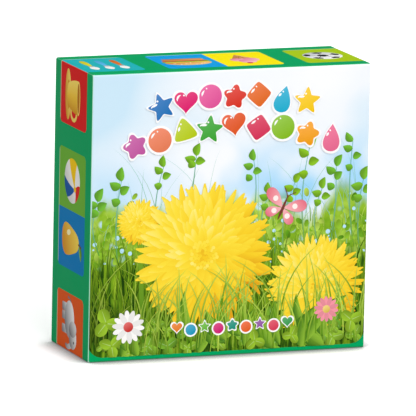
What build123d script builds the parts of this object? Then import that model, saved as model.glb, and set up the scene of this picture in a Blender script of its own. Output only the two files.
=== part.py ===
from build123d import *
import os

# A thick board book for babies in its card slipcase.
# Millimetres. +X points out of the case's mouth, -Y is the front, +Z is up.
# The origin is the centre of the case's underside.

# Book block: thick card leaves, glued at the spine
leaf_count = 14
leaf_thickness = 2.6
leaf_edge_depth = 0.45
leaf_edge_width = 0.3
book_width = 117.0
book_height = 114.0
corner_radius = 9.0

# Book cover: one card folded round the block
cover_board = 2.3
spine_board = 1.4
spine_fold_radius = 1.3
board_edge_bevel = 0.3
crease_offset = 7.0
crease_radius = 1.5
crease_depth = 0.4

# Slipcase: one folded and glued card, open on the right
case_wall = 1.5
outer_fold_radius = 0.9
inner_fold_radius = 0.4
mouth_bevel = 0.15

# Room that the book has in the case
side_clearance = 0.5
floor_clearance = 0.3
head_clearance = 0.7
spine_clearance = 0.5
mouth_recess = 1.0

# Sizes that follow
block_thickness = leaf_count * leaf_thickness
book_thickness = block_thickness + 2 * cover_board
case_width = case_wall + spine_clearance + book_width + mouth_recess
case_depth = book_thickness + 2 * (side_clearance + case_wall)
case_height = book_height + floor_clearance + head_clearance + 2 * case_wall

mouth_x = case_width / 2
book_left_x = -mouth_x + case_wall + spine_clearance
book_right_x = book_left_x + book_width
book_bottom_z = case_wall + floor_clearance
book_top_z = book_bottom_z + book_height


def book_outline(left_x, inset=0.0):
    """Side view of a board or leaf: square at the spine, rounded at the fore-edge.
    inset moves the three free edges inwards."""
    right_x = book_right_x - inset
    low_z = book_bottom_z + inset
    high_z = book_top_z - inset
    width = right_x - left_x
    middle = Plane(origin=((left_x + right_x) / 2, 0, (low_z + high_z) / 2), x_dir=(1, 0, 0), z_dir=(0, -1, 0))
    outline = Rectangle(width, high_z - low_z)
    fore_edge_corners = outline.vertices().group_by(Axis.X)[-1]
    return middle * fillet(fore_edge_corners, corner_radius - inset)


def make_slipcase():
    """A five-sided shell with rounded folds and a plainly cut mouth."""
    on_the_floor = (Align.CENTER, Align.CENTER, Align.MIN)
    body = Box(case_width, case_depth, case_height, align=on_the_floor)
    mouth_rim = body.faces().sort_by(Axis.X)[-1].edges()
    folds = [edge for edge in body.edges() if edge not in mouth_rim]
    body = fillet(folds, outer_fold_radius)

    # The room for the book, run out through the mouth
    room_depth = case_depth - 2 * case_wall
    room_height = case_height - 2 * case_wall
    room_width = case_width - case_wall
    room = Pos(case_wall / 2, 0, case_wall) * Box(room_width, room_depth, room_height, align=on_the_floor)
    room_mouth = room.faces().sort_by(Axis.X)[-1].edges()
    inner_folds = [edge for edge in room.edges() if edge not in room_mouth]
    body -= fillet(inner_folds, inner_fold_radius)

    # The cut edges of the card are a little soft
    rim = body.faces().sort_by(Axis.X)[-1]
    return chamfer(rim.edges(), mouth_bevel)


def make_cover():
    """Front board, spine and back board as one folded card, creased beside the spine."""
    plan_centre = Pos((book_left_x + book_right_x) / 2, 0)
    plan = plan_centre * Rectangle(book_width, book_thickness)
    plan = fillet(plan.vertices().group_by(Axis.X)[0], spine_fold_radius)
    block_plan = Pos((book_left_x + spine_board + book_right_x) / 2, 0)
    plan -= block_plan * Rectangle(book_width - spine_board, block_thickness)

    # Creases are shallow rounded grooves pressed into the outer faces
    crease_x = book_left_x + crease_offset
    crease_y = book_thickness / 2 + crease_radius - crease_depth
    for side in (-1, 1):
        plan -= Pos(crease_x, side * crease_y) * Circle(crease_radius)
    wrap = Pos(0, 0, book_bottom_z) * extrude(plan, book_height)

    # The fore-edge corners are rounded through both boards
    trimmed = extrude(book_outline(book_left_x), book_thickness / 2, both=True)
    wrap &= trimmed

    # Soft outer edges round each board, from crease to crease
    outer_faces = [wrap.faces().sort_by(Axis.Y)[0], wrap.faces().sort_by(Axis.Y)[-1]]
    soft_edges = [edge for face in outer_faces for edge in face.edges() if edge.center().X > crease_x + crease_radius]
    return chamfer(soft_edges, board_edge_bevel)


def make_leaf():
    """One leaf, its front face at y = 0, with edges that thin towards both faces."""
    middle = leaf_thickness - 2 * leaf_edge_width
    left_x = book_left_x + spine_board
    full = book_outline(left_x)
    narrow = book_outline(left_x, leaf_edge_depth)
    core = Pos(0, leaf_edge_width, 0) * extrude(full, -middle)
    near = loft([narrow, Pos(0, leaf_edge_width, 0) * full])
    far = loft([Pos(0, leaf_edge_width + middle, 0) * full, Pos(0, leaf_thickness, 0) * narrow])
    return core + near + far


def make_page_block():
    """All leaves, glued face to face near the spine and pressed shut."""
    leaf = make_leaf()
    front_y = -block_thickness / 2
    leaves = [Pos(0, front_y + number * leaf_thickness, 0) * leaf for number in range(leaf_count)]
    block = leaves[0]
    for next_leaf in leaves[1:]:
        block += next_leaf
    return block


os.makedirs("parts", exist_ok=True)
pieces = {
    "slipcase": make_slipcase(),
    "book_cover": make_cover(),
    "page_block": make_page_block(),
}
for name, piece in pieces.items():
    export_step(piece, f"parts/{name}.step")
    size = piece.bounding_box().size
    print(name, len(piece.solids()), "solid", round(size.X, 2), round(size.Y, 2), round(size.Z, 2))
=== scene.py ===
import math

import bpy
import numpy as np
from mathutils import Matrix, Vector


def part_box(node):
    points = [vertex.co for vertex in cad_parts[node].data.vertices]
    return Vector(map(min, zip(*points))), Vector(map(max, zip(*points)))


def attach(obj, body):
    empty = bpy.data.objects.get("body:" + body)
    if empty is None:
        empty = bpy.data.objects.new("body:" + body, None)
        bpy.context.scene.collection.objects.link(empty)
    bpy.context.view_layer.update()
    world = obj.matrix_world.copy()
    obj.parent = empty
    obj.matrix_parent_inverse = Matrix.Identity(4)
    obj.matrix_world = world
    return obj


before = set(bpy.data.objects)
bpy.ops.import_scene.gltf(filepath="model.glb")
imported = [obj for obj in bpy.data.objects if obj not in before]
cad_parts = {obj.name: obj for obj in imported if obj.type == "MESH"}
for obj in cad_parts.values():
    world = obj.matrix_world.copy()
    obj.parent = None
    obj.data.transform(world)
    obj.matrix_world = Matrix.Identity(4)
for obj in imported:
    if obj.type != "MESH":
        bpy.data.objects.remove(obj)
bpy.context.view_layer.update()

lowCase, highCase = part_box("slipcase")
lowCover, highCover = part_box("book_cover")
lowBlock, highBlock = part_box("page_block")
caseWidth, caseDepth, caseHeight = highCase - lowCase
bookWidth, _, bookHeight = highCover - lowCover
print("frame loaded, case", " x ".join(f"{side * 1000:.0f}" for side in highCase - lowCase))


def tone(red, green, blue):
    # screen colour 0 to 255 as linear light: a power curve with a straight foot
    share = np.array((red, green, blue)) / 255
    return np.where(share <= 0.04045, share / 12.92, ((share + 0.055) / 1.055) ** 2.4)


def rgba(colour):
    return (*[float(part) for part in colour], 1.0)


# Inks of the print, and half the width over which one ink gives way to the next, in metres
ink = {
    "green": tone(0, 164, 97),
    # foldHighlightMint: the pale colour of the painted highlight along the folds
    "foldHighlightMint": tone(196, 238, 220),
    "white": tone(252, 252, 252),
    "cardWhite": tone(236, 234, 226),
    "cardGrey": tone(206, 203, 194),
}
inkEdge = 0.00004


# Shader nodes: what a helper is given is either a socket to link or a value to set
def plug(tree, node, inputs):
    for key, value in inputs.items():
        if isinstance(value, bpy.types.NodeSocket):
            tree.links.new(value, node.inputs[key])
        else:
            node.inputs[key].default_value = value


def addNode(tree, kind, inputs=None, **settings):
    node = tree.nodes.new(kind)
    for key, value in settings.items():
        setattr(node, key, value)
    plug(tree, node, inputs or {})
    return node


def calc(tree, operation, *values):
    return addNode(tree, "ShaderNodeMath", dict(enumerate(values)), operation=operation).outputs[0]


def overlap(tree, *masks):
    # where all of these masks hold: their product
    product = masks[0]
    for mask in masks[1:]:
        product = calc(tree, "MULTIPLY", product, mask)
    return product


def between(tree, value, low, high, newLow=0.0, newHigh=1.0):
    # smooth step from newLow at low to newHigh at high
    ends = {"Value": value, "From Min": low, "From Max": high, "To Min": newLow, "To Max": newHigh}
    return addNode(tree, "ShaderNodeMapRange", ends, interpolation_type="SMOOTHSTEP").outputs["Result"]


def blendInk(tree, amount, under, over):
    under, over = [rgba(colour) if isinstance(colour, np.ndarray) else colour for colour in (under, over)]
    return addNode(tree, "ShaderNodeMix", {0: amount, 6: under, 7: over}, data_type="RGBA").outputs[2]


def colourRamp(tree, value, stops):
    node = addNode(tree, "ShaderNodeValToRGB", {0: value})
    while len(node.color_ramp.elements) < len(stops):
        node.color_ramp.elements.new(0.5)
    for element, (place, colour) in zip(node.color_ramp.elements, stops):
        element.position = place
        element.color = rgba(colour)
    return node.outputs[0]


def onPiece(tree):
    return addNode(tree, "ShaderNodeTexCoord").outputs["Object"]


def parts(tree, vector):
    return addNode(tree, "ShaderNodeSeparateXYZ", {0: vector}).outputs


def noise(tree, place, scale, detail):
    inputs = {"Vector": place, "Scale": scale, "Detail": detail}
    return addNode(tree, "ShaderNodeTexNoise", inputs).outputs["Fac"]


def newGroup(name, inputs, outputs):
    # each socket is a number unless its name says that it is a colour or a corner of a box
    kinds = {"colour": "NodeSocketColor", "low": "NodeSocketVector", "high": "NodeSocketVector"}
    group = bpy.data.node_groups.new(name, "ShaderNodeTree")
    for side, names in (("INPUT", inputs), ("OUTPUT", outputs)):
        for socket in names.split():
            kind = kinds.get(socket, "NodeSocketFloat")
            group.interface.new_socket(socket, in_out=side, socket_type=kind)
    return group, addNode(group, "NodeGroupInput").outputs, addNode(group, "NodeGroupOutput")


def placeGroup(tree, group, **inputs):
    return addNode(tree, "ShaderNodeGroup", inputs, node_tree=group).outputs


def makeBoxFaces():
    # which face of a box a point belongs to: the one that it is nearest to, so a fold is shared at its middle
    sameDistance = 1e-6
    group, given, out = newGroup("boxFaces", "low high", "front back left top bottom nearest frontLeft x y z")
    place, low, high = parts(group, onPiece(group)), parts(group, given["low"]), parts(group, given["high"])
    sides = (
        ("front", place, low, 1), ("back", high, place, 1), ("left", place, low, 0), ("top", high, place, 2),
        ("bottom", place, low, 2),
    )
    away = {name: calc(group, "SUBTRACT", far[axis], near[axis]) for name, far, near, axis in sides}
    nearest = away["front"]
    for name in ("back", "left", "top", "bottom"):
        nearest = calc(group, "MINIMUM", nearest, away[name])
    plug(group, out, {name: calc(group, "COMPARE", away[name], nearest, sameDistance) for name in away})
    plug(group, out, {"nearest": nearest, "frontLeft": calc(group, "MAXIMUM", away["front"], away["left"])})
    plug(group, out, dict(zip("xyz", place)))
    return group


def makeRoundedField():
    # rounded rectangle: how far outside its straight core a point lies, less the corner radius
    group, given, out = newGroup("roundedField", "u v middleU middleV halfU halfV radius", "mask")
    reach = []
    for along, middle, half in (("u", "middleU", "halfU"), ("v", "middleV", "halfV")):
        off = calc(group, "ABSOLUTE", calc(group, "SUBTRACT", given[along], given[middle]))
        core = calc(group, "SUBTRACT", given[half], given["radius"])
        reach.append(calc(group, "SUBTRACT", off, core))
    past = [calc(group, "MAXIMUM", side, 0.0) for side in reach]
    corner = addNode(group, "ShaderNodeCombineXYZ", dict(enumerate(past))).outputs[0]
    length = addNode(group, "ShaderNodeVectorMath", {0: corner}, operation="LENGTH").outputs["Value"]
    inside = calc(group, "MINIMUM", calc(group, "MAXIMUM", *reach), 0.0)
    outside = calc(group, "SUBTRACT", calc(group, "ADD", length, inside), given["radius"])
    plug(group, out, {"mask": between(group, outside, inkEdge, -inkEdge)})
    return group


filmLook = {
    "shine": 0.04,
    "bump": 0.25,
    "depth": 0.00002,
    "rippleScale": 30.0,
    "toothScale": 900.0,
    "toothShare": 0.08,
    "roughness": (0.42, 0.5),
}


def makeLaminate():
    # gloss film on card: a faint long ripple and a fine tooth, and a gloss that varies a little
    group, given, out = newGroup("laminate", "scale", "roughness height")
    here = onPiece(group)
    ripple = noise(group, here, calc(group, "MULTIPLY", given["scale"], filmLook["rippleScale"]), 2)
    tooth = noise(group, here, calc(group, "MULTIPLY", given["scale"], filmLook["toothScale"]), 3)
    rough = between(group, ripple, 0.3, 0.7, *filmLook["roughness"])
    fine = calc(group, "MULTIPLY", tooth, filmLook["toothShare"])
    plug(group, out, {"roughness": rough, "height": calc(group, "ADD", ripple, fine)})
    return group


# The far ground of the picture, over its own shares of the width, u, and of the height, v.
# A cloud of noise is its scale along u and v, its detail and its shift; a step is where it runs
# from and to, and the two values that it runs between if they aren't 0 and 1
groundLook = {
    "skyCloud": (2.2, 2.6, 1.0, 4.0),
    "skyLeft": (0.0, 0.55, -0.22, 0.06),
    "skyRight": (0.84, 1.0, 0.0, 0.2),
    "skyTones": [(0.25, tone(203, 230, 246)), (0.5, tone(242, 246, 251)), (0.7, tone(249, 250, 252))],
    "blueCloud": (4.0, 4.0, 2.0, 9.0),
    "bluePatch": (0.36, 0.6),
    "blueUp": (0.82, 0.6),
    "blueAcross": (0.3, 0.8, 0.3, 1.0),
    "blueTone": tone(158, 214, 248),
    "hedgeCloud": (9.0, 10.0, 3.0, 0.0),
    "hedgeFoot": (0.3, 0.44),
    "hedgeTones": [
        (0.3, tone(92, 146, 22)),
        (0.48, tone(140, 184, 40)),
        (0.62, tone(180, 212, 84)),
        (0.75, tone(214, 234, 150)),
    ],
    "grassCloud": (60.0, 9.0, 3.0, 2.0),
    "grassTones": [
        (0.32, tone(24, 56, 8)),
        (0.45, tone(66, 112, 16)),
        (0.58, tone(126, 168, 30)),
        (0.72, tone(176, 206, 60)),
    ],
    "deepCloud": (3.4, 4.2, 2.0, 6.0),
    "deepPatch": (0.35, 0.6),
    "deepUp": (0.42, 0.1, 0.0, 0.8),
    "deepTone": tone(26, 58, 12),
    "lightScale": (23.0, 23.0),
    "lightSize": (0.42, 0.2),
    "lightPicked": (0.5, 0.6),
    "lightUp": (0.3, 0.42, 0.0, 0.85),
    "lightTone": tone(190, 226, 246),
    "skylineCloud": (7.0, 0.0, 3.0, 1.0),
    "skylineHeight": (0.25, 0.75, 0.44, 0.6),
    "skylineBlur": 0.035,
}


def makeMeadow():
    # out of focus: pale sky, a hedge line and long grass, each a row of tones along a cloud of noise
    look = groundLook
    group, given, out = newGroup("meadow", "u v", "colour")
    across, up = given["u"], given["v"]

    def spotAt(scaleU, scaleV, shift=0.0):
        u, v = calc(group, "MULTIPLY", across, scaleU), calc(group, "MULTIPLY", up, scaleV)
        return addNode(group, "ShaderNodeCombineXYZ", {0: u, 1: v, 2: shift}).outputs[0]

    def cloud(name):
        scaleU, scaleV, detail, shift = look[name]
        return noise(group, spotAt(scaleU, scaleV, shift), 1.0, detail)

    def step(value, name):
        return between(group, value, *look[name])

    # Sky: bluer to the left edge and low on the right
    haze = calc(group, "ADD", cloud("skyCloud"), step(across, "skyLeft"))
    haze = calc(group, "SUBTRACT", haze, step(across, "skyRight"))
    sky = colourRamp(group, haze, look["skyTones"])
    drift = step(cloud("blueCloud"), "bluePatch")
    blue = overlap(group, step(up, "blueUp"), drift, step(across, "blueAcross"))
    sky = blendInk(group, blue, sky, look["blueTone"])

    # Hedge and grass
    hedge = colourRamp(group, cloud("hedgeCloud"), look["hedgeTones"])
    grass = colourRamp(group, cloud("grassCloud"), look["grassTones"])
    deep = overlap(group, step(cloud("deepCloud"), "deepPatch"), step(up, "deepUp"))
    grass = blendInk(group, deep, grass, look["deepTone"])
    ground = blendInk(group, step(up, "hedgeFoot"), grass, hedge)

    # Points of pale light between the leaves
    spots = {"Scale": 1.0, "Vector": spotAt(*look["lightScale"])}
    cells = addNode(group, "ShaderNodeTexVoronoi", spots).outputs
    picked = addNode(group, "ShaderNodeSeparateColor", {0: cells["Color"]}).outputs[0]
    small = step(cells["Distance"], "lightSize")
    glint = overlap(group, small, step(picked, "lightPicked"), step(up, "lightUp"))
    ground = blendInk(group, glint, ground, look["lightTone"])

    above = calc(group, "SUBTRACT", up, step(cloud("skylineCloud"), "skylineHeight"))
    land = between(group, above, look["skylineBlur"], -look["skylineBlur"])
    plug(group, out, {"colour": blendInk(group, land, sky, ground)})
    return group


boxFaces, roundedField, laminate, meadow = makeBoxFaces(), makeRoundedField(), makeLaminate(), makeMeadow()


def newMaterial(name, shine=filmLook["shine"]):
    material = bpy.data.materials.new(name)
    material.use_nodes = True
    tree = material.node_tree
    shader = tree.nodes["Principled BSDF"]
    shader.inputs["Specular IOR Level"].default_value = shine
    return material, tree, shader


def addFilm(tree, shader):
    # the laminate's relief and gloss on a material
    film = placeGroup(tree, laminate, scale=1.0)
    relief = {"Strength": filmLook["bump"], "Distance": filmLook["depth"], "Height": film["height"]}
    bump = addNode(tree, "ShaderNodeBump", relief)
    plug(tree, shader, {"Normal": bump.outputs[0], "Roughness": film["roughness"]})


def fieldMask(tree, u, v, low, high, radius):
    # mask of the rounded rectangle between two corners
    (left, bottom), (right, top) = low, high
    middle = {"middleU": (left + right) / 2, "middleV": (bottom + top) / 2}
    half = {"halfU": (right - left) / 2, "halfV": (top - bottom) / 2}
    return placeGroup(tree, roundedField, u=u, v=v, **middle, **half, radius=radius)["mask"]


# The band of tiles, as shares of the case's length and depth; radius, bleed and line are in metres
bandLook = {
    "single": (0.0, 0.212),
    "pair": (0.295, 0.505, 0.712),
    "last": (0.795, 1.0),
    "frontStrip": 0.147,
    "backStrip": 0.158,
    "radius": 0.0023,
    "bleed": 0.004,
    "lineWidth": 0.0004,
    "lineBlur": 0.0001,
    "lineStrength": 0.75,
    "lineTone": tone(226, 232, 206),
    "left": (tone(224, 27, 26), tone(111, 180, 54), tone(0, 125, 190), tone(228, 90, 25)),
    "top": (tone(30, 180, 186), tone(8, 160, 230), tone(255, 236, 0), tone(170, 202, 18)),
    "bottom": (tone(200, 90, 165), tone(250, 165, 0), tone(120, 200, 60), tone(0, 150, 200)),
}


def paintBand(tree, mask, along, across, length, tones, under):
    # three rounded fields on the green: a single tile, a joined pair and a last tile, which run off the ends
    look = bandLook
    low, high = caseDepth * look["frontStrip"], caseDepth * (1 - look["backStrip"])
    pairStart, pairMiddle, pairEnd = [share * length for share in look["pair"]]
    half = between(tree, along, pairMiddle - inkEdge, pairMiddle + inkEdge)
    spans = [
        (-look["bleed"], look["single"][1] * length, tones[0]),
        (pairStart, pairEnd, blendInk(tree, half, tones[1], tones[2])),
        (look["last"][0] * length, length + look["bleed"], tones[3]),
    ]
    colour = under
    for start, end, fill in spans:
        field = fieldMask(tree, along, across, (start, low), (end, high), look["radius"])
        shown = overlap(tree, field, mask)
        colour = blendInk(tree, shown, colour, fill)
        # a pale line where the rear edge of the tile's print is a little out of register
        lineStart = high - look["lineWidth"]
        line = between(tree, across, lineStart - look["lineBlur"], lineStart)
        colour = blendInk(tree, overlap(tree, line, shown, look["lineStrength"]), colour, look["lineTone"])
    return colour


# Each piece's print, in metres: the picture's field from the front's lower left corner, which on the
# case runs off three sides, the part of the front that is flat, the folds, and the depth of the ink
sheetLook = {
    "case": {
        "low": (-0.0003, 0.0019),
        "high": (caseWidth + 0.0003, caseHeight + 0.02),
        "radius": 0.0067,
        "faceLow": (0.0006, 0.0006),
        "faceHigh": (caseWidth - 0.0002, caseHeight - 0.0006),
        "fold": 0.0009,
        "bare": (0.0006, 0.0007),
        "rim": (0.00016, 0.0001),
    },
    "book": {
        "low": (0.0088, 0.0016),
        "high": (bookWidth - 0.0016, bookHeight - 0.0016),
        "radius": 0.0074,
        "faceLow": (0.0088, 0.0016),
        "faceHigh": (bookWidth - 0.0016, bookHeight - 0.0016),
        "fold": 0.0013,
        "bare": (0.00042, 0.0005),
    },
}
# Painted highlight along the folds: its strength on the upright fold beside the front and on the others,
# where it starts and ends as shares of the depth of a fold's middle, and where it fades as shares of the
# radius
foldHighlightLook = {"beside": 0.95, "others": 0.2, "ends": (0.3, 0.95), "fade": (1.2, 1.0)}
openSide = 1.0  # metres: past any point of a piece, so that no print or fold is on that side


def paintFront(tree, faces, low, high, sheet, under):
    # the meadow within the picture's rounded field, on the green
    u, v = calc(tree, "SUBTRACT", faces["x"], low[0]), calc(tree, "SUBTRACT", faces["z"], low[2])
    mask = fieldMask(tree, u, v, sheet["low"], sheet["high"], sheet["radius"])
    width, _, height = high - low
    picture = placeGroup(tree, meadow, u=calc(tree, "DIVIDE", u, width), v=calc(tree, "DIVIDE", v, height))
    return blendInk(tree, overlap(tree, mask, faces["front"]), under, picture["colour"])


def paintFoldHighlight(tree, faces, radius, colour):
    # a painted highlight: the print is pale along the middle of each fold, which lies this far inside both
    # faces, and most of all along the upright fold at the left of the front, where the edge catches the light
    middle = radius * (1 - math.sqrt(0.5))
    start, end = [middle * share for share in foldHighlightLook["ends"]]
    far, near = [radius * share for share in foldHighlightLook["fade"]]
    highlit = between(tree, faces["nearest"], start, end)
    most = between(tree, faces["frontLeft"], far, near, foldHighlightLook["others"], foldHighlightLook["beside"])
    return blendInk(tree, overlap(tree, highlit, most), colour, ink["foldHighlightMint"])


def makeCardFibre(tree, light, dark, scale=900.0):
    return colourRamp(tree, noise(tree, onPiece(tree), scale, 4), [(0.35, dark), (0.62, light)])


def finishCard(tree, shader, colour, bare):
    # fibrous card where the print ends, and the film
    fibre = makeCardFibre(tree, ink["cardWhite"], ink["cardGrey"])
    plug(tree, shader, {"Base Color": blendInk(tree, bare, colour, fibre)})
    addFilm(tree, shader)


def makeCaseCard():
    material, tree, shader = newMaterial("caseCard")
    sheet = sheetLook["case"]
    faces = placeGroup(tree, boxFaces, low=lowCase, high=(openSide, highCase[1], highCase[2]))
    fromLeft = calc(tree, "SUBTRACT", faces["x"], lowCase[0])
    fromFront = calc(tree, "SUBTRACT", faces["y"], lowCase[1])
    fromTop = calc(tree, "SUBTRACT", highCase[2], faces["z"])
    colour = ink["green"]
    bands = (("left", fromTop, caseHeight), ("top", fromLeft, caseWidth), ("bottom", fromLeft, caseWidth))
    for side, along, length in bands:
        colour = paintBand(tree, faces[side], along, fromFront, length, bandLook[side], colour)
    colour = paintFront(tree, faces, lowCase, highCase, sheet, colour)
    colour = paintFoldHighlight(tree, faces, sheet["fold"], colour)

    # Bare card inside and on the cut edge of the mouth
    inside = between(tree, faces["nearest"], *sheet["bare"])
    rim = between(tree, faces["x"], *[highCase[0] - depth for depth in sheet["rim"]])
    finishCard(tree, shader, colour, calc(tree, "MAXIMUM", inside, rim))
    return material


def makeCoverCard():
    # the cover folds only beside its spine, so its box has no top, bottom or right side
    material, tree, shader = newMaterial("coverCard")
    sheet = sheetLook["book"]
    low, high = (lowCover[0], lowCover[1], -openSide), (openSide, highCover[1], openSide)
    faces = placeGroup(tree, boxFaces, low=low, high=high)
    colour = paintFront(tree, faces, lowCover, highCover, sheet, ink["green"])
    colour = paintFoldHighlight(tree, faces, sheet["fold"], colour)
    finishCard(tree, shader, colour, between(tree, faces["nearest"], *sheet["bare"]))
    return material


# Steps run over the way from a leaf's middle, 0, to its face, 0.5
leafLook = {
    "leaves": 14,
    "light": tone(248, 247, 242),
    "dark": tone(238, 236, 228),
    "fibreScale": 1300.0,
    "core": (0.34, 0.2, 0.0, 0.3),
    "coreTone": tone(224, 219, 208),
    # gap: painted shade where two leaves meet
    "gapShade": (0.42, 0.5, 0.0, 0.6),
    "gapShadeTone": tone(140, 132, 118),
    "shine": 0.2,
    "roughness": 0.75,
}


def makeLeafBoard():
    # cut leaf edges: white faces, a slightly grey middle and painted shade in the gap between two leaves,
    # repeated by the leaf's thickness
    look = leafLook
    material, tree, shader = newMaterial("leafBoard", look["shine"])
    depth = calc(tree, "SUBTRACT", parts(tree, onPiece(tree))[1], lowBlock[1])
    phase = calc(tree, "FRACT", calc(tree, "DIVIDE", depth, (highBlock[1] - lowBlock[1]) / look["leaves"]))
    away = calc(tree, "ABSOLUTE", calc(tree, "SUBTRACT", phase, 0.5))
    colour = makeCardFibre(tree, look["light"], look["dark"], look["fibreScale"])
    for name in ("core", "gapShade"):
        colour = blendInk(tree, between(tree, away, *look[name]), colour, look[name + "Tone"])
    plug(tree, shader, {"Base Color": colour, "Roughness": look["roughness"]})
    return material


def makePrintInk():
    material, tree, shader = newMaterial("printInk")
    colour = addNode(tree, "ShaderNodeVertexColor", layer_name="ink")
    plug(tree, shader, {"Base Color": colour.outputs["Color"]})
    addFilm(tree, shader)
    return material


materials = {
    "slipcase": makeCaseCard(),
    "book_cover": makeCoverCard(),
    "page_block": makeLeafBoard(),
}
printInk = makePrintInk()
for node, material in materials.items():
    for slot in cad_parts[node].material_slots:
        slot.material = material
print("card, cover and leaves painted")

# Printed shapes: grids of points in mm on a face, u to the right and v up, laid one over the other.
# A picture holds such grids and the layer at which the next one is laid
printLook = {"firstLift": 0.012, "layerStep": 0.0015, "smallestCell": 1e-5}
tiny = 1e-9  # keeps a length that is divided by off zero


def newPicture():
    return {"patches": [], "layer": 0}


def addPatch(picture, points, colours, closed=False, layers=0):
    # points: piece, row, column, place; colours the same with three parts; layers: a height for each piece
    points = np.asarray(points, float)
    colours = np.broadcast_to(np.asarray(colours, float), (*points.shape[:3], 3))
    layers = np.broadcast_to(layers, len(points))
    picture["patches"].append((points, colours, layers + picture["layer"], closed))
    picture["layer"] += int(layers.max()) + 1


def shareLayers(picture, draw, rows, spread=1):
    # shapes that hardly overlap start from the same layer, or from one of a few where neighbours touch
    base, depth = picture["layer"], 0
    for number, row in enumerate(rows):
        start = base + (number % spread) * depth
        picture["layer"] = start
        draw(picture, *row)
        depth = max(depth, picture["layer"] - start)
    picture["layer"] = base + spread * depth


def stamp(picture, motif, middle, turn=0.0, size=1.0):
    # a motif drawn round its own middle, turned, scaled and moved into the picture
    drawn = newPicture()
    motif(drawn)
    for points, colours, layers, closed in drawn["patches"]:
        moved = turned(points * size, turn) + np.asarray(middle)
        picture["patches"].append((moved, colours, layers + picture["layer"], closed))
    picture["layer"] += drawn["layer"]


def keepInside(points, sheet):
    # a point outside the rounded field moves straight back to its edge, and none leaves the printed face
    low, high, faceLow, faceHigh = [
        1000 * np.array(sheet[key]) for key in ("low", "high", "faceLow", "faceHigh")
    ]
    radius = 1000 * sheet["radius"]
    core = np.clip(points, low + radius, high - radius)
    off = points - core
    far = np.linalg.norm(off, axis=-1, keepdims=True)
    inside = core + off * np.minimum(1, radius / np.maximum(far, tiny))
    return np.clip(inside, faceLow, faceHigh)


def makePrint(name, picture, place, body, sheet=None):
    # each grid's cells become quads, wound so that they face out of the card
    places, tints, prints, faces, start = [], [], [], [], 0
    for points, colours, layers, closed in picture["patches"]:
        if sheet is not None:
            points = keepInside(points, sheet)
        pieces, rows, columns, _ = points.shape
        index = start + np.arange(pieces * rows * columns).reshape(pieces, rows, columns)
        beside = np.roll(index, -1, axis=2)
        if not closed:
            index, beside = index[:, :, :-1], beside[:, :, :-1]
        corners = [index[:, :-1], beside[:, :-1], beside[:, 1:], index[:, 1:]]
        quads = np.stack(corners, axis=-1).reshape(-1, 4)
        flat = points.reshape(-1, 2)
        here = flat[quads - start]
        ahead = np.roll(here, -1, axis=1)
        area = (here[..., 0] * ahead[..., 1] - ahead[..., 0] * here[..., 1]).sum(axis=1) / 2
        quads[area < 0] = quads[area < 0][:, ::-1]
        faces.append(quads[np.abs(area) > printLook["smallestCell"]])
        height = printLook["firstLift"] + layers * printLook["layerStep"]
        lift = np.broadcast_to(height[:, None, None], points.shape[:3])
        places.append(place(flat[:, 0], flat[:, 1], lift.ravel()) / 1000)
        tints.append(colours.reshape(-1, 3))
        prints.append(flat)
        start += len(flat)
    places, tints, prints, faces = [np.concatenate(part) for part in (places, tints, prints, faces)]

    # Only points that a quad uses are kept
    used = np.unique(faces)
    renumbered = np.zeros(len(places), np.int32)
    renumbered[used] = np.arange(len(used))
    loops = renumbered[faces].ravel()
    mesh = bpy.data.meshes.new(name)
    mesh.vertices.add(len(used))
    mesh.vertices.foreach_set("co", places[used].astype(np.float32).ravel())
    mesh.loops.add(loops.size)
    mesh.loops.foreach_set("vertex_index", loops)
    mesh.polygons.add(len(faces))
    mesh.polygons.foreach_set("loop_start", np.arange(0, loops.size, 4, dtype=np.int32))
    mesh.update(calc_edges=True)
    shades = np.column_stack([tints[used], np.ones(len(used))])
    layer = mesh.color_attributes.new("ink", "FLOAT_COLOR", "POINT")
    layer.data.foreach_set("color", shades.astype(np.float32).ravel())
    # the map is the flat print itself, scaled into the unit square
    spread = (prints - prints.min(axis=0)) / np.ptp(prints, axis=0).max()
    flatMap = mesh.uv_layers.new(name="OFBake")
    flatMap.uv.foreach_set("vector", spread[used][loops].astype(np.float32).ravel())
    mesh.materials.append(printInk)
    piece = bpy.data.objects.new(name, mesh)
    bpy.context.collection.objects.link(piece)
    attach(piece, body)
    print(name, len(faces), "quads in", picture["layer"], "layers")
    return piece


def tint(value, stops):
    # colour along a row of stops, value 0 at the first and 1 at the last
    stops = np.array(stops)
    where = np.linspace(0, 1, len(stops))
    return np.stack([np.interp(value, where, stops[:, part]) for part in range(3)], axis=-1)


def turned(points, degrees):
    angle = math.radians(degrees)
    return points @ np.array([[math.cos(angle), math.sin(angle)], [-math.sin(angle), math.cos(angle)]])


def grid(u, v):
    # points where rows and columns cross, from one number for each or for both
    return np.stack(np.broadcast_arrays(u, v), axis=-1)[None]


def zigzag(number):
    # up and down by turns
    return (-1) ** number


# Number of points, 3 for a star or 1 for straight sides, and crispness of the corners
polygons = {"star": (5, 3, 0.9), "square": (4, 1, 0.9), "triangle": (3, 1, 0.87)}


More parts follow.
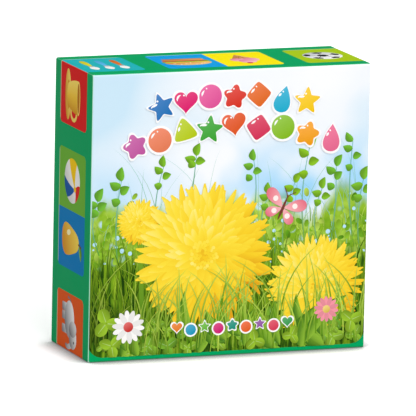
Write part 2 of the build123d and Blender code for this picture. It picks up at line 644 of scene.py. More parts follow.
def outlineOf(kind, count=72):
    # an outline round its own middle, one unit in radius, as a function of the angle
    a = np.linspace(0, 2 * np.pi, count, endpoint=False)
    around = np.column_stack([np.sin(a), np.cos(a)])
    if kind == "heart":
        # two lobes above a point: the sine cubed across, four cosines up
        up = 13 * np.cos(a) - 5 * np.cos(2 * a) - 2 * np.cos(3 * a) - np.cos(4 * a)
        return np.column_stack([16 * np.sin(a) ** 3, up + 2.5]) / 16
    if kind == "drop":
        # pointed at the top, where the sine of half the angle narrows it
        return np.column_stack([0.86 * np.sin(a) * np.sin(a / 2) ** 1.2, np.cos(a)])
    if kind == "pear":
        # fuller below, by one and by twice the angle's cosine
        return np.column_stack([np.sin(a) * (0.66 - 0.24 * np.cos(a) + 0.1 * np.cos(2 * a)), np.cos(a)])
    if kind == "block":
        # rounded square: both coordinates follow a root of the sine and cosine
        return np.sign(around) * np.abs(around) ** 0.22
    radius = np.ones(count)
    if kind in polygons:
        # radius of a polygon or star with soft corners, from the cosine of the angle between its points
        points, skip, crisp = polygons[kind]
        top = math.cos((2 * math.asin(crisp) + math.pi * skip) / (2 * points))
        radius = top / np.cos((2 * np.arcsin(crisp * np.cos(points * a)) + math.pi * skip) / (2 * points))
        radius /= radius.max()
    elif kind == "flower":
        radius = 0.84 + 0.16 * np.cos(5 * a)
    elif kind == "fluff":
        radius = 0.86 + 0.14 * np.abs(np.cos(4 * a))
    return radius[:, None] * around


# Round outlines with as many points as their size on the print asks for
disc, smallDisc, dot = outlineOf("ball"), outlineOf("ball", 24), outlineOf("ball", 20)


def addShape(picture, outline, middle, size, turn, colours, rings=2):
    # rings of the outline from its middle outwards; size is one number, or one across and one up
    share = np.linspace(0, 1, rings + 1)[:, None, None]
    local = share * outline[None]
    points = turned(local * np.broadcast_to(size, 2), turn) + np.asarray(middle)
    addPatch(picture, points[None], colours(local) if callable(colours) else colours, closed=True)


def rounded(light, dark, lean=(-0.45, 0.9)):
    # shade of a puffed-up shape: bright towards the upper left, dark towards the lower right
    def shade(local):
        value = np.clip(0.5 - 0.5 * (local @ np.array(lean)), 0, 1)
        return tint(value, [light, dark])[None]
    return shade


def addStroke(picture, spine, widths, colours):
    # a ribbon along a path: each point of the path moved half its width to both sides; one colour, or
    # one for each point of the path
    spine, colours = np.asarray(spine, float), np.asarray(colours)
    ahead = np.gradient(spine, axis=0)
    side = np.column_stack([-ahead[:, 1], ahead[:, 0]])
    side /= np.maximum(np.linalg.norm(side, axis=1, keepdims=True), tiny)
    half = np.broadcast_to(widths, len(spine))[:, None] / 2
    points = np.stack([spine - side * half, spine + side * half], axis=1)
    addPatch(picture, points[None], colours[None, :, None] if colours.ndim == 2 else colours)


# Puffed shapes in the title's place: two rows of them, in mm
puffLook = {
    "middle": 61.0,
    "rim": 1.0,
    "fan": -24,
    "tilt": 8,
    "unevenHeight": 0.5,
    "fuller": {"star": 1.18, "triangle": 1.1, "square": 1.05, "drop": 1.14, "flower": 1.03, "heart": 1.03},
    "upper": {
        "top": 107.2,
        "ends": (29.5, 92.5),
        "size": 4.9,
        "fall": 16.0,
        "shapes": [
            ("star", tone(28, 118, 190)),
            ("heart", tone(228, 0, 110)),
            ("ball", tone(235, 90, 160)),
            ("flower", tone(225, 50, 30)),
            ("square", tone(235, 110, 30)),
            ("drop", tone(30, 180, 215)),
            ("star", tone(255, 208, 0)),
        ],
    },
    "lower": {
        "top": 94.6,
        "ends": (18.5, 103.5),
        "size": 5.0,
        "fall": 28.0,
        "shapes": [
            ("flower", tone(200, 90, 165)),
            ("ball", tone(240, 130, 90)),
            ("triangle", tone(190, 210, 0)),
            ("star", tone(60, 170, 50)),
            ("heart", tone(230, 85, 10)),
            ("square", tone(220, 50, 90)),
            ("ball", tone(140, 195, 30)),
            ("flower", tone(250, 165, 0)),
            ("drop", tone(240, 110, 150)),
        ],
    },
    # highlights: their two ends in degrees from the top, and their width as a share of the size
    "highlights": [(-76, -34, 0.085), (-22, -12, 0.075)],
    "highlightReach": 0.76,
}


def puffRim(picture, kind, middle, size, turn):
    addShape(picture, outlineOf(kind), middle, size + puffLook["rim"], turn, ink["white"])


def puffBody(picture, kind, middle, size, turn, colour):
    # highlights: a bent stroke inside the upper left edge and a short one beside it
    outline = outlineOf(kind)
    addShape(picture, outline, middle, size, turn, rounded(colour * 0.93 + 0.07, colour * 0.86), 4)
    heading = np.mod(np.arctan2(outline[:, 0], outline[:, 1]), 2 * np.pi)
    order = np.argsort(heading)
    swell = np.sin(np.linspace(0.12, np.pi - 0.12, 12))
    strokes = []
    for start, end, width in puffLook["highlights"]:
        angle = np.radians(np.linspace(start, end, len(swell)))
        reach = np.interp(np.mod(angle, 2 * np.pi), heading[order], np.linalg.norm(outline, axis=1)[order])
        ways = np.column_stack([np.sin(angle), np.cos(angle)])
        spine = puffLook["highlightReach"] * size * reach[:, None] * ways
        strokes.append((turned(spine, turn) + np.asarray(middle), 2 * width * size * swell, ink["white"]))
    shareLayers(picture, addStroke, strokes)


def addTitleShapes(picture):
    # two rows on shallow arches: the fall from the top grows with the square of the distance from the middle
    look = puffLook
    spots = []
    for row in (look["upper"], look["lower"]):
        start, end = row["ends"]
        for number, (kind, colour) in enumerate(row["shapes"]):
            u = start + (end - start) * number / (len(row["shapes"]) - 1)
            lean = (u - look["middle"]) / (end - start)
            v = row["top"] - row["fall"] * lean**2 + look["unevenHeight"] * zigzag(number)
            turn = look["fan"] * lean + look["tilt"] * zigzag(number)
            spots.append((kind, (u, v), row["size"] * look["fuller"].get(kind, 1.0), turn, colour))
    shareLayers(picture, puffRim, [spot[:4] for spot in spots], 3)
    shareLayers(picture, puffBody, spots, 2)


# Grass: number of blades, height of the feet, length, width and lean in mm, tones at foot and tip, layers
grassKeys = ("count", "foot", "tall", "width", "lean", "tones", "layers")
grassLook = {
    name: dict(zip(grassKeys, row))
    for name, *row in (
        ("thin", 46, (40, 58), (14, 40), (0.2, 0.42), 14, (tone(120, 180, 130), tone(150, 206, 206)), 4),
        ("far", 360, (34, 54), (5, 16), (0.35, 0.8), 4, (tone(104, 154, 30), tone(194, 220, 96)), 12),
        ("middle", 600, (2, 36), (9, 26), (0.4, 1.0), 7, (tone(30, 72, 8), tone(150, 192, 38)), 16),
        ("near", 190, (1, 14), (12, 36), (0.5, 1.2), 12, (tone(92, 142, 22), tone(196, 222, 88)), 12),
    )
}
# The low left of the picture lies in shade: how much, and how far it reaches across and up
grassShade = (0.62, 26, 34)


def addBlades(picture, look, width, seed):
    # blade: a foot, a rise and a lean that grows with the square of the way up; it tapers to its tip
    draw = np.random.default_rng(seed)
    count = look["count"]
    foot = np.column_stack([draw.uniform(-2, width + 2, count), draw.uniform(*look["foot"], count)])
    foot = foot[np.argsort(-foot[:, 1])]
    tall = draw.uniform(*look["tall"], count)
    lean = draw.normal(0, look["lean"], count) * tall / look["tall"][1]
    wide = draw.uniform(*look["width"], count)
    way = np.linspace(0, 1, 8)
    rise = foot[:, 1:] + tall[:, None] * (way - 0.12 * way**3)
    spine = np.stack([foot[:, :1] + lean[:, None] * way**2, rise], axis=-1)
    ahead = np.gradient(spine, axis=1)
    side = np.stack([-ahead[..., 1], ahead[..., 0]], axis=-1)
    side /= np.linalg.norm(side, axis=-1, keepdims=True)
    half = (wide[:, None] * (1 - way) ** 0.6 * (0.6 + 0.8 * way * (1 - way)))[..., None, None] / 2
    reach = np.array([-1.0, 0.0, 1.0])[None, None, :, None]
    points = spine[:, :, None] + side[:, :, None] * half * reach
    uneven = draw.normal(0, 0.22, count)[:, None, None]
    mixed = np.clip(way[None, :, None] * 0.9 + uneven + 0.1 * reach[..., 0], 0, 1)
    base, tip = look["tones"]
    colours = base + mixed[..., None] * (tip - base)
    shade, reachU, reachV = grassShade
    dim = 1 - shade * np.exp(-((points[..., 0] / reachU) ** 2) - (points[..., 1] / reachV) ** 2)
    layers = np.arange(count) * look["layers"] / count
    addPatch(picture, points, colours * dim[..., None], layers=layers)


def addLeaf(picture, foot, tip, width, light, dark):
    # leaf: its half width is the sine of the way along, a little fuller at the foot; one half is lighter
    foot, tip = np.array(foot, float), np.array(tip, float)
    way = np.linspace(0, 1, 12)
    along = tip - foot
    side = np.array([-along[1], along[0]]) / np.linalg.norm(along)
    bend = 0.12 * np.linalg.norm(along) * np.sin(np.pi * way)
    spine = foot + way[:, None] * along + bend[:, None] * side
    half = width / 2 * np.sin(np.pi * way**0.8) ** 0.85
    reach = np.array([-1, -0.5, -0.06, 0.06, 0.5, 1.0])
    points = spine[:, None] + side * (half[:, None] * reach)[..., None]
    addPatch(picture, points[None], tint([0.15, 0.3, 0.55, 0.7, 0.85, 1.0], [light, dark]))


def addClover(picture, middle, size, light, dark, turn=0.0):
    # three round leaves, each with a vein
    angles = (90, 210, 330)
    ways = [turned(np.array([1.0, 0.0]), angle + turn) for angle in angles]
    for way, angle in zip(ways, angles):
        spot = np.array(middle) + 0.58 * size * way
        addShape(picture, smallDisc, spot, (0.56 * size, 0.48 * size), angle + turn, rounded(light, dark), 3)
    along, thin = np.linspace(0.12, 0.95, 5)[:, None], np.linspace(0.09, 0.02, 5)
    veins = [(np.array(middle) + way * size * along, size * thin, light * 0.8 + 0.12) for way in ways]
    shareLayers(picture, addStroke, veins)


def addSprig(picture, foot, top, size, light, dark, seed):
    # thin bent stem with small oval leaves near its top, the first one upright; each leaf has two draws
    uneven = np.random.default_rng(seed).normal(size=9)
    bend, tilts = 2.5 * uneven[0], uneven[2::2]
    foot, top = np.array(foot, float), np.array(top, float)
    way = np.linspace(0, 1, 12)[:, None]
    spine = foot + (top - foot) * way + np.array([bend, 0]) * np.sin(np.pi * way)
    addStroke(picture, spine, np.linspace(0.55, 0.3, 12), tint(way[:, 0], [light * 0.6, tone(120, 190, 190)]))
    for number, (share, tilt) in enumerate(zip((1.0, 0.93, 0.84, 0.74), tilts)):
        spot = foot + (top - foot) * share
        angle = math.radians(62 * zigzag(number) + 16 * tilt) if number else 0.3 * tilt
        tip = spot + size * (1.0 - 0.1 * number) * np.array([math.sin(angle), math.cos(angle)])
        addLeaf(picture, spot, tip, size * 0.62, light, dark)


# Full double blooms
bloomLook = {
    "tones": [
        tone(122, 66, 8), tone(222, 150, 24), tone(246, 205, 40), tone(250, 222, 62), tone(252, 240, 140)
    ],
    # rings of petals: inner and outer reach, count and half width, as shares of the radius
    "rings": [
        (0.36, 1.0, 64, 0.062),
        (0.3, 0.9, 56, 0.06),
        (0.24, 0.79, 48, 0.058),
        (0.17, 0.67, 44, 0.056),
        (0.1, 0.54, 36, 0.054),
        (0.1, 0.41, 28, 0.05),
    ],
    "ringLayers": 4,
    "uneven": 0.035,
    "heart": 0.17,
    "heartTones": (0.5, 0.3),
    "florets": 70,
    "floretSize": 0.026,
    "floretReach": 0.2,
    "heartLayers": 9,
}


def addBloom(picture, middle, radius, seed):
    # rings of narrow petals, each ring shorter than the one below, and a heart of florets on a golden spiral
    look = bloomLook
    draw = np.random.default_rng(seed)
    middle = np.array(middle, float)
    way = np.linspace(0, 1, 9)
    across = np.array([-1.0, -0.35, 0.35, 1.0])
    for ring, (inner, outer, count, wide) in enumerate(look["rings"]):
        evenly = np.linspace(0, 2 * np.pi, count, endpoint=False)
        angle = evenly + draw.normal(0, look["uneven"], count) + ring * 0.05
        length = outer * draw.normal(1, look["uneven"], count)
        reach = inner + (length[:, None] - inner) * way
        swing = angle[:, None] + 0.06 * draw.normal(0, 1, count)[:, None] * way**2
        spine = reach[..., None] * np.stack([np.cos(swing), np.sin(swing)], axis=-1)
        side = np.stack([-np.sin(swing), np.cos(swing)], axis=-1)
        taper = np.sin(np.pi * np.clip(way * 0.86 + 0.12, 0, 1)) ** 0.6
        half = wide * draw.uniform(0.85, 1.15, count)[:, None] * taper
        local = spine[:, :, None] + side[:, :, None] * (half[..., None] * across)[..., None]
        # a petal is lighter to the upper left, towards its tip, to one side and on the inner rings
        fall = local @ np.array([-0.42, 0.62])
        value = 0.48 + 0.3 * fall + 0.24 * (way[None, :, None] - 0.45) + 0.05 * across + 0.035 * ring
        value = np.clip(value + draw.normal(0, 0.05, count)[:, None, None], 0.12, 1)
        layers = np.arange(count) % look["ringLayers"]
        addPatch(picture, middle + radius * local, tint(value, look["tones"]), layers=layers)
    heart = [tint(share, look["tones"]) for share in look["heartTones"]]
    addShape(picture, smallDisc, middle, look["heart"] * radius, 0, rounded(*heart))
    goldenAngle = 137.5
    number = np.arange(look["florets"])
    share = np.sqrt(number / len(number))
    turn = number * math.radians(goldenAngle)
    spots = look["floretReach"] * share[:, None] * np.column_stack([np.cos(turn), np.sin(turn)])
    circle = look["floretSize"] * np.linspace(0, 1, 2)[:, None, None] * outlineOf("ball", 10)
    points = middle + radius * (spots[:, None, None] + circle)
    value = 0.4 + 0.4 * share + draw.normal(0, 0.07, len(number))
    colours = tint(value, look["tones"])[:, None, None]
    addPatch(picture, points, colours, closed=True, layers=number % look["heartLayers"])


# Heights are their mean and their spread, in mm
hedgeLook = {
    "leaves": 210,
    "leafHeight": (50, 6.5),
    "leafSize": (1.0, 2.1),
    "leafTones": [tone(96, 160, 30), tone(150, 200, 50), tone(190, 222, 90)],
    "lights": 46,
    "lightHeight": (49, 6),
    "lightSize": (0.35, 1.0),
    "lightTone": tone(184, 226, 246),
}


def addHedge(picture, width, seed):
    # small oval leaves and points of pale light, out of focus behind the grass
    look = hedgeLook
    draw = np.random.default_rng(seed)
    oval, light = outlineOf("ball", 16), outlineOf("ball", 14)
    leaves, lights = [], []
    for across in np.sort(draw.uniform(0, width, look["leaves"])):
        spot = (across, draw.normal(*look["leafHeight"]))
        colour = tint(draw.uniform(0, 1), look["leafTones"])
        size, turn = draw.uniform(*look["leafSize"]), draw.uniform(0, 180)
        leaves.append((oval, spot, (size * 0.62, size), turn, rounded(colour, colour * 0.55)))
    for across in np.sort(draw.uniform(0, width, look["lights"])):
        spot = (across, draw.normal(*look["lightHeight"]))
        lights.append((light, spot, draw.uniform(*look["lightSize"]), 0, look["lightTone"], 1))
    shareLayers(picture, addShape, leaves, 9)
    shareLayers(picture, addShape, lights, 4)


def addDaisy(picture, middle, size, petalTone, heartTone, turn):
    # a ring of oval petals, every second one a little darker, and a round heart
    petalCount = 14
    oval, petals = outlineOf("ball", 16), []
    for number in range(petalCount):
        angle = turn + 360 * number / petalCount
        spot = np.array(middle) + 0.58 * size * turned(np.array([0.0, 1.0]), angle)
        colour = petalTone * (1 - 0.14 * (number % 2))
        petals.append((oval, spot, (0.17 * size, 0.42 * size), angle, colour, 1))
    shareLayers(picture, addShape, petals, 2)
    heart = rounded(heartTone * 0.8 + 0.15, heartTone * 0.7)
    addShape(picture, outlineOf("ball", 28), middle, 0.3 * size, 0, heart, 3)


def butterfly(picture):
    # four wings, mirrored left and right, a narrow body and two feelers
    light, dark, pale = tone(250, 186, 190), tone(228, 108, 128), tone(255, 240, 235)
    brown = tone(120, 60, 50)
    drop = outlineOf("drop", 40)
    wings = ((128, 0.42, 0.34, 0.4), (62, 0.55, 0.42, 0.55))  # degrees from the top, reach, width and height
    for mirror in (-1, 1):
        for lean, reach, width, height in wings:
            spot = reach * np.array([mirror * math.sin(math.radians(lean)), math.cos(math.radians(lean))])
            addShape(picture, drop, spot, (width, height), 180 - mirror * lean, rounded(light, dark), 3)
            addShape(picture, dot, spot, 0.12, 0, pale, 1)
        way = np.linspace(0, 1, 7)
        addStroke(picture, np.column_stack([mirror * 0.28 * way**1.5, 0.48 + 0.34 * way]), 0.04, brown)
    body = np.linspace((0, -0.55), (0, 0.5), 9)
    addStroke(picture, body, 0.13 * np.sin(np.linspace(0.3, np.pi - 0.2, 9)), brown)


# The front's picture, drawn in mm for this width and scaled to the face: places, sizes, turns and tones
meadowLook = {
    "width": 120,
    "seed": 11,
    "blooms": [((21, 57), 9.5), ((49, 42), 30), ((98, 27), 21)],
    "stemTones": [tone(70, 120, 24), tone(128, 172, 44)],
    "sprigs": [
        ((12, 40), (13, 74), 6), ((29, 50), (31, 79), 5), ((43, 66), (45, 83), 5.5),
        ((4, 44), (3, 66), 6), ((68, 50), (70, 80), 5), ((93, 44), (94, 84), 6),
        ((104, 42), (106, 76), 5.5), ((114, 44), (113, 86), 5), ((84, 40), (88, 70), 5),
        ((99, 44), (100, 67), 5), ((117, 40), (118, 70), 6), ((76, 46), (77, 66), 5),
    ],
    "sprigTones": [tone(120, 196, 60), tone(150, 206, 40)],
    "butterfly": ((83, 60), -24, 9.5),
    "clovers": 34,
    "cloverTones": [tone(160, 204, 60), tone(110, 172, 50)],
    "leaves": 20,
    "leafTones": (tone(150, 194, 60), tone(60, 112, 26)),
    "broadLeaves": [
        ((7.5, 16), 5.6, 20), ((10, 6.5), 4.6, 70), ((114, 12), 4.6, 50), ((72, 5.5), 4.0, 10),
        ((88, 7), 3.6, 95),
    ],
    "broadTone": tone(158, 200, 52),
    "daisies": [
        ((17, 14), 7.0, tone(250, 248, 246), tone(226, 40, 30), 7),
        ((103, 17), 5.4, tone(244, 150, 164), tone(250, 214, 90), 3),
    ],
    "small": {
        "start": 38,
        "pitch": 6.0,
        "height": 12,
        "rim": 2.9,
        "size": 2.25,
        "shapes": [
            ("heart", tone(240, 130, 20)), ("ball", tone(20, 160, 200)), ("star", tone(110, 190, 60)),
            ("ball", tone(216, 20, 120)), ("flower", tone(0, 150, 130)), ("ball", tone(240, 100, 30)),
            ("star", tone(150, 90, 170)), ("ball", tone(225, 60, 90)), ("heart", tone(50, 160, 80)),
        ],
    },
}


def addSmallShapes(picture):
    # a level row of small shapes on white rims
    look = meadowLook["small"]
    rims, bodies = [], []
    for number, (kind, colour) in enumerate(look["shapes"]):
        outline = outlineOf(kind)
        up = look["height"] + puffLook["unevenHeight"] * zigzag(number)
        spot = (look["start"] + look["pitch"] * number, up)
        rims.append((outline, spot, look["rim"], 0, ink["white"]))
        bodies.append((outline, spot, look["size"], 0, rounded(colour * 0.9 + 0.08, colour * 0.85), 3))
    shareLayers(picture, addShape, rims)
    shareLayers(picture, addShape, bodies)


def paintMeadowPicture(width):
    # back to front: far grass, flowers, near grass and leaves, then the puffed shapes
    look, full, seed = meadowLook, meadowLook["width"], meadowLook["seed"]
    picture = newPicture()
    draw = np.random.default_rng(seed)
    addBlades(picture, grassLook["thin"], full, seed + 1)
    addBlades(picture, grassLook["far"], full, seed + 2)
    addHedge(picture, full, seed + 8)
    sprigs = []
    for number, sprig in enumerate(look["sprigs"]):
        light = tint(draw.uniform(0, 1), look["sprigTones"])
        sprigs.append((*sprig, light, light * 0.5, seed + 40 + number))
    shareLayers(picture, addSprig, sprigs, 2)
    addBlades(picture, grassLook["middle"], full, seed + 3)
    stemTones = tint(np.linspace(0, 1, 10), look["stemTones"])
    stems = [
        (np.linspace((middle[0] + 0.3 * radius, 0), middle, 10), 2.0, stemTones)
        for middle, radius in look["blooms"]
    ]
    shareLayers(picture, addStroke, stems)
    for number, (middle, radius) in enumerate(look["blooms"]):
        addBloom(picture, middle, radius, seed + 20 + number)
    stamp(picture, butterfly, *look["butterfly"])

    clovers = []
    for across in np.sort(draw.uniform(2, full - 2, look["clovers"])):
        spot, size = (across, draw.uniform(2, 15)), draw.uniform(2.4, 4.6)
        light = tint(draw.uniform(0, 1), look["cloverTones"])
        clovers.append((spot, size, light, light * 0.4, draw.uniform(0, 120)))
    shareLayers(picture, addClover, clovers, 8)
    leaves = []
    for across in np.sort(draw.uniform(4, full - 4, look["leaves"])):
        foot = np.array([across, draw.uniform(0, 8)])
        tip = foot + np.array([draw.normal(0, 9), draw.uniform(9, 20)])
        leaves.append((foot, tip, draw.uniform(3, 6), *look["leafTones"]))
    shareLayers(picture, addLeaf, leaves, 8)
    addBlades(picture, grassLook["near"], full, seed + 4)
    light = look["broadTone"]
    broad = [(spot, size, light, light * 0.5, turn) for spot, size, turn in look["broadLeaves"]]
    shareLayers(picture, addClover, broad, 3)

    # what lies in front doesn't overlap, so each kind starts from the same layer
    front = picture["layer"]
    shareLayers(picture, addDaisy, look["daisies"])
    picture["layer"] = front
    addSmallShapes(picture)
    picture["layer"] = front
    addTitleShapes(picture)
    picture["patches"] = [(points * width / full, *rest) for points, *rest in picture["patches"]]
    return picture


# Tile motifs: mm round the tile's middle, drawn upright
def cup(picture):
    light, middle, dark = tone(255, 226, 110), tone(246, 200, 62), tone(214, 150, 30)
    tea = tone(190, 120, 20)
    addShape(picture, disc, (0, -7.2), (11.4, 3.6), 0, rounded(light, dark), 3)  # saucer
    addShape(picture, disc, (0, -6.6), (6.6, 1.7), 0, dark, 1)
    turn = np.radians(np.linspace(0, 360, 40))
    handle = (7.2, 0.4) + np.array((3.4, 3.6)) * np.column_stack([np.cos(turn), np.sin(turn)])
    addStroke(picture, handle, 1.7, light * 0.9)
    # wall: the half width shrinks towards the foot, and each row sags in the middle
    way, across = np.linspace(0, 1, 16)[:, None], np.linspace(-1, 1, 12)[None]
    wall = grid((7.6 - 2.6 * way**2.2) * across, 6.4 - 13.4 * way - 1.3 * (1 - across**2) * way)
    addPatch(picture, wall, tint(0.5 + 0.5 * across, [light, middle, dark]))
    addShape(picture, disc, (0, 6.4), (7.6, 2.0), 0, light, 1)
    addShape(picture, disc, (0, 6.2), (6.7, 1.5), 0, tea, 1)


def beachBall(picture):
    # gores from a pole near the upper right to the rim, each bent to one side
    white, yellow = tone(245, 244, 240), tone(250, 205, 20)
    gores = [tone(226, 44, 34), white, yellow, white, tone(20, 96, 178), white]
    radius, pole = 10.0, np.array([3.2, 3.6])
    way = np.linspace(0, 1, 12)[:, None, None]
    patches = []
    for number, colour in enumerate(gores):
        angle = np.radians(60 * number + 24 + np.linspace(0, 60, 14))
        rim = radius * np.stack([np.cos(angle), np.sin(angle)], axis=-1)[None]
        bent = np.stack([-rim[..., 1], rim[..., 0]], axis=-1) * 0.35 * way * (1 - way)
        points = pole * (1 - way) + rim * way + bent
        shade = np.clip(1 - 0.32 * np.clip(points @ np.array([0.05, -0.07]), 0, 1), 0, 1)[..., None]
        patches.append((points[None], (colour * shade)[None]))
    shareLayers(picture, addPatch, patches)
    addShape(picture, smallDisc, pole, 1.4, 0, yellow, 1)


def pear(picture):
    light, dark, brown = tone(255, 226, 90), tone(216, 140, 30), tone(110, 70, 30)
    addShape(picture, outlineOf("pear"), (0, -1), (11.5, 11.0), 0, rounded(light, dark), 6)
    addStroke(picture, [(0.2, 9), (0.4, 11), (1.3, 13)], [0.9, 0.8, 1.1], brown)  # stalk
    addLeaf(picture, (0.8, 10.4), (7.4, 12.6), 3.4, tone(150, 200, 60), tone(70, 130, 30))
    addShape(picture, smallDisc, (-3.2, -3.4), (1.3, 2.4), 14, tone(255, 245, 190))  # gloss


def elephant(picture):
    light, dark, black = tone(252, 251, 250), tone(124, 124, 128), tone(30, 30, 34)
    for leg in (-6.4, -2.4, 3.6):
        addShape(picture, outlineOf("block", 40), (leg, -6.6), (1.9, 3.6), 0, rounded(light * 0.8, dark))
    addShape(picture, disc, (-1.6, -0.6), (8.4, 6.2), 0, rounded(light, dark), 5)  # body
    way = np.linspace(0, 1, 14)
    trunk = np.column_stack([8.6 + 2.4 * np.sin(2.6 * way), 3.6 - 11.0 * way + 2.4 * way**4])
    addStroke(picture, trunk, 3.2 - 1.7 * way, tint(way, [light * 0.8, dark]))
    addShape(picture, disc, (6.2, 4.0), (5.0, 4.8), 0, rounded(light, dark), 4)  # head
    addShape(picture, disc, (2.2, 3.8), (3.6, 4.8), 8, rounded(light * 0.85, dark * 0.8), 4)  # ear
    addShape(picture, dot, (8.0, 5.2), 0.6, 0, black, 1)  # eye
    addStroke(picture, [(-9.6, 1.4), (-11, -0.6), (-11.4, -2.8)], [0.7, 0.6, 1.2], dark)  # tail


def brush(picture, across, colour):
    # a coloured handle, a metal collar and white bristles
    way = np.linspace(0, 1, 12)
    handle = np.linspace((across, -11), (across, 2.5), 12)
    bristle = np.linspace((across, 5.2), (across, 11.5), 12)
    addStroke(picture, handle, 1.5 + 1.6 * np.sin(np.pi * way**0.7), tint(way, [colour * 0.7, colour]))
    addStroke(picture, [(across, 2.2), (across, 5.4)], 2.6, [tone(150, 156, 160), tone(222, 226, 228)])
    addStroke(picture, bristle, 3.0 + 1.2 * np.sin(np.pi * way) - 2.2 * way**4, tone(246, 246, 242))


def brushes(picture):
    rows = [(-7.0, tone(232, 120, 40)), (0.0, tone(90, 190, 240)), (7.0, tone(232, 222, 40))]
    shareLayers(picture, brush, rows)


def bun(picture):
    # sandwich bun: two halves with a leaf and two slices between them
    pale, crust, crumb = tone(250, 206, 138), tone(236, 178, 100), tone(176, 104, 40)
    seedTone = tone(255, 240, 205)
    way = np.linspace(-1, 1, 30)
    addShape(picture, outlineOf("block", 48), (0, -4.2), (9.6, 2.7), 0, rounded(crust, crumb), 3)
    addStroke(picture, np.linspace((-10.6, -1.2), (10.6, -1.2), 30), 2.2, tone(206, 70, 50))
    addStroke(picture, np.column_stack([11.2 * way, 0.7 + 0.5 * np.sin(16 * way)]), 2.0, tone(120, 180, 50))
    addStroke(picture, np.linspace((-10.4, 2.2), (10.4, 2.2), 30), 1.4, tone(250, 206, 70))
    # top half: a half ellipse, a little cut off at both ends
    across, rise = np.linspace(-1, 1, 24)[None], np.linspace(0, 1, 8)[:, None]
    dome = grid(10.8 * across, 2.8 + 6.8 * rise * np.sqrt(1 - 0.96 * across**2))
    addPatch(picture, dome, tint(np.clip(0.75 - 0.6 * rise + 0.25 * across, 0, 1), [pale, crust, crumb]))
    spots = [(-5.4, 6.0), (-2.2, 7.8), (1.6, 6.2), (4.6, 7.0), (-0.6, 4.6), (7.0, 4.8), (-7.6, 4.4)]
    seed = outlineOf("drop", 20)
    shareLayers(picture, addShape, [(seed, spot, (0.6, 0.9), 40 * spot[0], seedTone, 1) for spot in spots])


def iceCream(picture):
    # cone with crossed grooves, three scoops and a cherry
    way, across = np.linspace(0, 1, 10)[:, None], np.linspace(-1, 1, 8)[None]
    cone = grid(4.8 * (1 - way) * across + 0.4 * across, -0.5 - 10.5 * way)
    addPatch(picture, cone, tint(0.5 + 0.5 * across, [tone(240, 190, 120), tone(196, 128, 60)]))
    for lean in (-1, 1):
        for number in range(3):
            start = np.array([lean * (4.4 - 2.6 * number), -0.9])
            end = np.array([lean * (1.2 - 1.3 * number) * 0.6, -5.3 - 1.4 * number])
            addStroke(picture, [start, (start + end) / 2, end], 0.35, tone(170, 104, 44))
    light, dark = tone(252, 196, 208), tone(226, 120, 150)
    for spot, size in (((-3.0, 1.8), 4.0), ((3.0, 1.8), 4.0), ((0, 5.8), 4.3)):
        addShape(picture, outlineOf("fluff"), spot, size, 0, rounded(light, dark), 4)
    addShape(picture, smallDisc, (0.6, 10.4), 1.4, 0, rounded(tone(240, 70, 70), tone(170, 20, 30)))


def spottedBall(picture):
    # white ball with a dark spot in the middle and five round it, seen aslant, each with a seam to it
    white, grey, dark = tone(255, 255, 255), tone(190, 194, 196), tone(24, 26, 28)
    addShape(picture, disc, (0, 0), 9.0, 0, rounded(white, grey), 5)
    spot = outlineOf("flower", 40) * 0.5 + outlineOf("ball", 40) * 0.5
    base = picture["layer"]
    addShape(picture, spot, (0, 0), 2.7, 0, dark)
    for angle in (36, 108, 180, 252, 324):
        picture["layer"] = base
        addShape(picture, spot, turned(np.array([0.0, 7.0]), angle), (2.6, 1.7), angle, dark)
        picture["layer"] = base
        addStroke(picture, turned(np.array([[0.0, 2.4], [0.0, 5.6]]), angle), 0.4, dark)


tileLook = {
    "size": 0.92,
    "left": [cup, beachBall, pear, elephant],
    "top": [brushes, bun, iceCream, spottedBall],
}


def paintTiles(side, length, fromEnd=False):
    # a motif at the middle of each of the band's four tiles; u along the band and v from its rear edge
    look = bandLook
    pairStart, pairMiddle, pairEnd = look["pair"]
    spans = [look["single"], (pairStart, pairMiddle), (pairMiddle, pairEnd), look["last"]]
    across = caseDepth * (1 - look["frontStrip"] + look["backStrip"]) / 2 * 1000
    rows = []
    for motif, (start, end) in zip(tileLook[side], spans):
        share = (start + end) / 2
        rows.append((motif, (length * 1000 * (1 - share if fromEnd else share), across), 0, tileLook["size"]))
    picture = newPicture()
    shareLayers(picture, stamp, rows)
    return picture


# Where a face's flat print lies on its piece, and which way it lifts
def onFront(low):
    left, face, bottom = 1000 * low
    return lambda u, v, lift: np.column_stack([left + u, face - lift, bottom + v])


def onLeft(low, high):
    # the band runs down from the top, and its motifs stand with their heads to the front
    face, back, top = 1000 * low[0], 1000 * high[1], 1000 * high[2]
    return lambda u, v, lift: np.column_stack([face - lift, back - v, top - u])


def onTop(high):
    # the band runs in from the right, and its motifs stand with their heads to the front
    right, back, face = 1000 * high
    return lambda u, v, lift: np.column_stack([right - u, back - v, face + lift])


meadowPicture = paintMeadowPicture(caseWidth * 1000)
makePrint("casePicture", meadowPicture, onFront(lowCase), "case", sheetLook["case"])
leftTiles = paintTiles("left", caseHeight)
makePrint("leftTiles", leftTiles, onLeft(lowCase, highCase), "case")
topTiles = paintTiles("top", caseWidth, fromEnd=True)
makePrint("topTiles", topTiles, onTop(highCase), "case")
bookPicture = paintMeadowPicture(bookWidth * 1000)
makePrint("bookPicture", bookPicture, onFront(lowCover), "book", sheetLook["book"])

# Floor and light
stageLook = {
    "floorReach": 3,
    "floorTone": tone(236, 236, 236),
    "floorBounce": tone(176, 176, 176),
    "glow": 0.43,
    "contactReach": 0.0125,
    "contactRange": (0.42, 0.98),
    "contactShade": 0.3,
    "worldFront": 0.95,
    "worldBack": 0.06,
    "worldTowards": (-0.35, -0.8, 0.45),
    "keyStrength": 1.33,
    "keyTowards": (0.1, -0.82, 0.55),
    "keyAngle": 35,
    "fillStrength": 1.6,
    "fillTowards": (0.75, 0.62, 0.14),
    "fillAngle": 60,
}


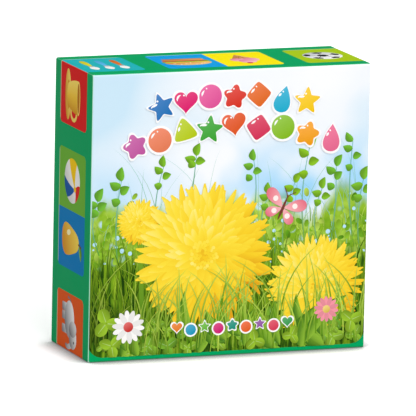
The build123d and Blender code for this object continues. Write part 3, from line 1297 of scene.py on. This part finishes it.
def makeFloor():
    # a flat grid that reaches past the view; near the object it is shaded by how much sky the object hides
    look = stageLook
    side = np.linspace(-look["floorReach"], look["floorReach"], 13)
    x, y = np.meshgrid(side, side)
    places = np.column_stack([x.ravel(), y.ravel(), np.zeros(x.size)])
    index = np.arange(x.size).reshape(x.shape)
    corners = [index[:-1, :-1], index[:-1, 1:], index[1:, 1:], index[1:, :-1]]
    quads = np.stack(corners, axis=-1).reshape(-1, 4)
    mesh = bpy.data.meshes.new("floor")
    mesh.from_pydata(places.tolist(), [], quads.tolist())
    material = bpy.data.materials.new("floorWhite")
    material.use_nodes = True
    tree = material.node_tree
    tree.nodes.clear()
    seen = addNode(tree, "ShaderNodeLightPath").outputs["Is Camera Ray"]
    contact = addNode(tree, "ShaderNodeAmbientOcclusion", {"Distance": look["contactReach"]}, samples=8)
    shade = between(tree, contact.outputs["AO"], *look["contactRange"], look["contactShade"], 1.0)
    white = blendInk(tree, shade, np.zeros(3), look["floorTone"])
    white = blendInk(tree, seen, look["floorBounce"], white)
    diffuse = addNode(tree, "ShaderNodeBsdfDiffuse", {"Color": white})
    glow = addNode(tree, "ShaderNodeEmission", {"Strength": overlap(tree, seen, shade, look["glow"])})
    both = addNode(tree, "ShaderNodeAddShader", {0: diffuse.outputs[0], 1: glow.outputs[0]})
    addNode(tree, "ShaderNodeOutputMaterial", {"Surface": both.outputs[0]})
    mesh.materials.append(material)
    floor = bpy.data.objects.new("floor", mesh)
    bpy.context.collection.objects.link(floor)


def makeLights():
    # soft light from the front and above, and a broad fill on the mouth and the back that leaves no gloss;
    # the world is dim behind the object, so that gloss doesn't wash its print out
    look = stageLook
    world = bpy.data.worlds.new("studio")
    bpy.context.scene.world = world
    world.use_nodes = True
    tree = world.node_tree
    out = addNode(tree, "ShaderNodeTexCoord").outputs["Generated"]
    towards = {0: out, 1: Vector(look["worldTowards"]).normalized()}
    way = addNode(tree, "ShaderNodeVectorMath", towards, operation="DOT_PRODUCT").outputs["Value"]
    soft = between(tree, way, -0.5, 0.5, look["worldBack"], look["worldFront"])
    seen = addNode(tree, "ShaderNodeLightPath").outputs["Is Camera Ray"]
    strength = calc(tree, "MAXIMUM", soft, seen)
    plug(tree, tree.nodes["Background"], {"Color": (1, 1, 1, 1), "Strength": strength})
    for name in ("key", "fill"):
        lamp = bpy.data.lights.new(name, "SUN")
        lamp.energy = look[name + "Strength"]
        lamp.angle = math.radians(look[name + "Angle"])
        sun = bpy.data.objects.new(name, lamp)
        sun.rotation_euler = Vector(look[name + "Towards"]).to_track_quat("Z", "Y").to_euler()
        sun.visible_glossy = name == "key"
        bpy.context.collection.objects.link(sun)


# Angles in degrees, distance and aim in metres; frameShare is how many times its own width the view is away
cameraLook = {
    "azimuth": -20.87,
    "elevation": 10.67,
    "distance": 2.941,
    "roll": 1.2,
    "frameShare": 17.328,
    "aimRight": -0.00083,
    "aimUp": -0.00218,
    "clip": (0.05, 20),
}
sensorWidth = 36  # mm, Blender's own


def makeCamera():
    look = cameraLook
    a, e = math.radians(look["azimuth"]), math.radians(look["elevation"])
    back = Vector((math.sin(a) * math.cos(e), -math.cos(a) * math.cos(e), math.sin(e)))
    right = Vector((math.cos(a), math.sin(a), 0))
    up = back.cross(right)
    target = Vector((0, 0, caseHeight / 2)) + right * look["aimRight"] + up * look["aimUp"]
    lens = bpy.data.cameras.new("camera")
    lens.lens = look["frameShare"] * sensorWidth
    lens.clip_start, lens.clip_end = look["clip"]
    camera = bpy.data.objects.new("camera", lens)
    turn = back.to_track_quat("Z", "Y").to_matrix() @ Matrix.Rotation(math.radians(look["roll"]), 3, "Z")
    camera.matrix_world = Matrix.Translation(target + back * look["distance"]) @ turn.to_4x4()
    bpy.context.collection.objects.link(camera)
    bpy.context.scene.camera = camera


makeFloor()
makeLights()
makeCamera()
bpy.context.scene.view_settings.view_transform = "Standard"
print("stage, light and camera set")
